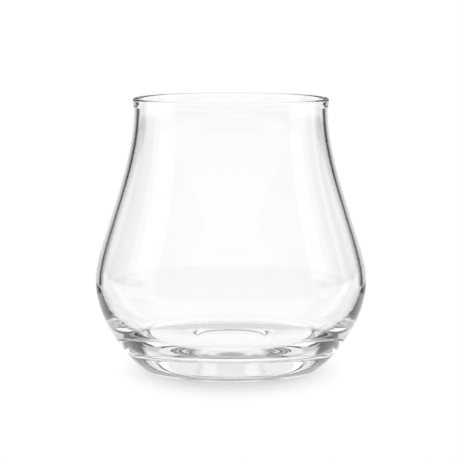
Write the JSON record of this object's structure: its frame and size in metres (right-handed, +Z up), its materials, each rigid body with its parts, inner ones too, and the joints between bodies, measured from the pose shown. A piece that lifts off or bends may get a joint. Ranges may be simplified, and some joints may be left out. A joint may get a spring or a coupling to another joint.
{
  "type": "whisky glass",
  "caption": "Stemless whisky tumbler of clear glass: wide low belly, S-curved flank drawn in to a slightly flared round lip, heavy solid base on a resting ring.",
  "frame": {"origin": "centre of the resting ring, on the table", "axes": "+Z up along the axis of turning, out of the mouth; X and Y are alike, because the glass is a body of revolution"},
  "size_m": [0.0896, 0.0896, 0.09],
  "materials": {
    "clear_glass": "clear, fire-polished"
  },
  "bodies": {
    "root": {"tumbler": "clear_glass"}
  },
  "joints": []
}
